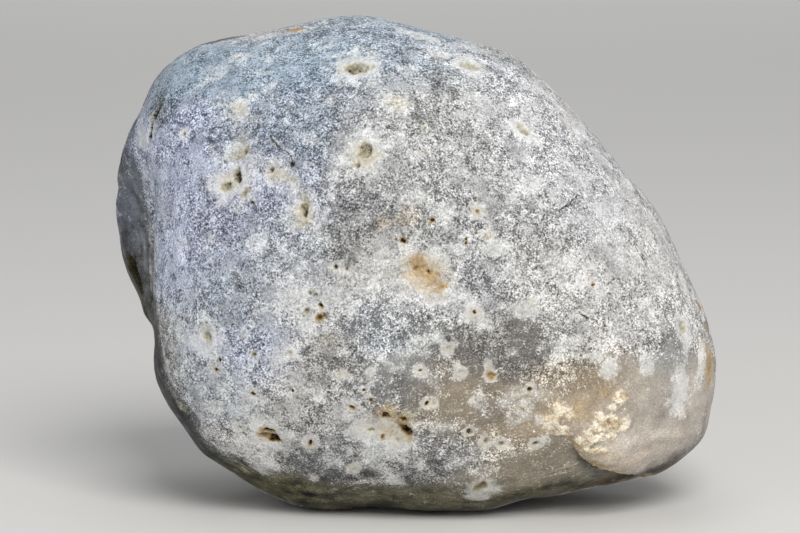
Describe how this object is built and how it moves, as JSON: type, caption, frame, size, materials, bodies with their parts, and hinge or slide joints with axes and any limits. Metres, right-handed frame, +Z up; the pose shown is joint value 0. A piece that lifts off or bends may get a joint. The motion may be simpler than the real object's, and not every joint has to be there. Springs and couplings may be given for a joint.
{
  "type": "waterline agate nodule",
  "caption": "Beach-worn nodule of frosted grey chalcedony with weathered pits, a broken ledge, a scooped side and a flat place to rest on.",
  "frame": {"origin": "on the flat place that the stone rests on, under the middle of its bounding box", "axes": "+Z up, the broad pitted front looks along -Y, the long way of the stone runs along X"},
  "size_m": [0.0754, 0.0489, 0.0604],
  "materials": {
    "chalcedony": "etched satin"
  },
  "bodies": {
    "root": {"agate_nodule": "chalcedony"}
  },
  "joints": []
}
